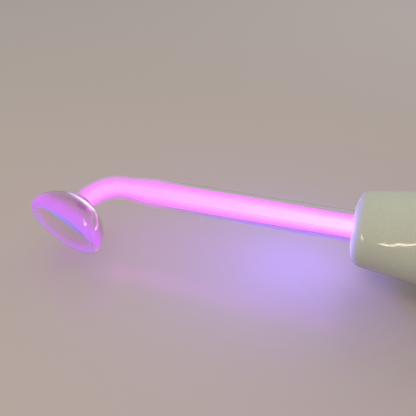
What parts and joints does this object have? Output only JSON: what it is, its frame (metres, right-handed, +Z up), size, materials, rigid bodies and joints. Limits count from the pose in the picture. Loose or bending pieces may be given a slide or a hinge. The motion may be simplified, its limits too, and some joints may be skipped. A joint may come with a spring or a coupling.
{
  "type": "violet ray machine",
  "caption": "Hand-held violet ray machine: a tapered moulded handle with a rear control knob and a bent glass electrode with a mushroom head.",
  "frame": {"origin": "on the handle's axis, in the middle of the cylindrical grip", "axes": "+X along the handle's axis from the electrode to the knob; +Z up as the machine lies on a table"},
  "size_m": [0.3436, 0.0537, 0.048],
  "materials": {
    "moulded_ivory": "glossy pale grey-ivory moulding",
    "glass": "clear blown glass, lit pink-violet from inside",
    "nickel": "nickel plate",
    "rubber": "matt black rubber",
    "brass": "turned brass",
    "phenolic": "pressed fibre and phenolic sheet",
    "brown_phenolic": "moulded dark brown phenolic",
    "enamelled_wire": "fine enamelled copper wire, wound",
    "copper_wire": "heavy enamelled copper wire",
    "varnished_paper": "varnished paper",
    "soft_iron": "bright soft iron",
    "steel": "turned steel",
    "spring_steel": "blued spring steel",
    "contact_metal": "tungsten contact",
    "tin": "tinned sheet",
    "porcelain": "white porcelain",
    "cement": "set plaster cement"
  },
  "bodies": {
    "handle": {"nose_shell": "moulded_ivory", "grip_shell": "moulded_ivory", "end_cap": "moulded_ivory", "end_cap_screws": "nickel", "cord_grommet": "rubber", "shaft_bush": "brass", "bush_nut": "brass", "stem_grip_ring": "rubber", "contact_cup": "brass", "coil_former": "phenolic", "secondary_pies": "enamelled_wire", "coil_sleeve": "varnished_paper", "primary_winding": "copper_wire", "coil_bulkhead": "phenolic", "chassis_plate": "phenolic", "magnet_yoke": "soft_iron", "magnet_core": "soft_iron", "magnet_bobbin": "phenolic", "magnet_winding": "enamelled_wire", "reed_post": "brass", "reed_clamp": "brass", "guide_bracket": "brass", "condenser": "tin", "condenser_clip": "tin", "terminal_block": "porcelain", "terminal_screws": "brass", "chassis_screws": "nickel"},
    "electrode_plug": {"electrode_cap": "nickel", "cap_cement": "cement"},
    "electrode": {"electrode_glass": "glass"},
    "knob": {"knob": "brown_phenolic", "knob_shaft": "steel", "knob_set_screw": "steel", "shaft_clip": "spring_steel"},
    "contact_slider": {"contact_slider": "phenolic", "fixed_contact": "contact_metal"},
    "armature": {"armature_plate": "soft_iron", "armature_reed": "spring_steel", "moving_contact": "contact_metal"}
  },
  "joints": [
    {"name": "electrode_pull", "type": "slide", "parent": "handle", "child": "electrode_plug", "axis": [-1, 0, 0], "range_m": [0, 0.06]},
    {"name": "electrode_turn", "type": "hinge", "parent": "electrode_plug", "child": "electrode", "pos_m": [-0.1414, 0, 0], "axis": [1, 0, 0], "continuous": true},
    {"name": "knob_turn", "type": "hinge", "parent": "handle", "child": "knob", "pos_m": [0.0606, 0, 0], "axis": [-1, 0, 0], "range_deg": [0, 270]},
    {"name": "contact_travel", "type": "slide", "parent": "handle", "child": "contact_slider", "axis": [-1, 0, 0], "range_m": [0, 0.00076]},
    {"name": "armature_swing", "type": "hinge", "parent": "handle", "child": "armature", "pos_m": [0.00565, 0, -0.0072], "axis": [0, -1, 0], "range_deg": [0, 3], "stiffness_Nm_per_rad": 0.01, "deforming": ["armature_reed"]}
  ],
  "couplings": [
    {"joint": "contact_travel", "follows": "knob_turn", "m_per_rad": 0.00015915}
  ]
}
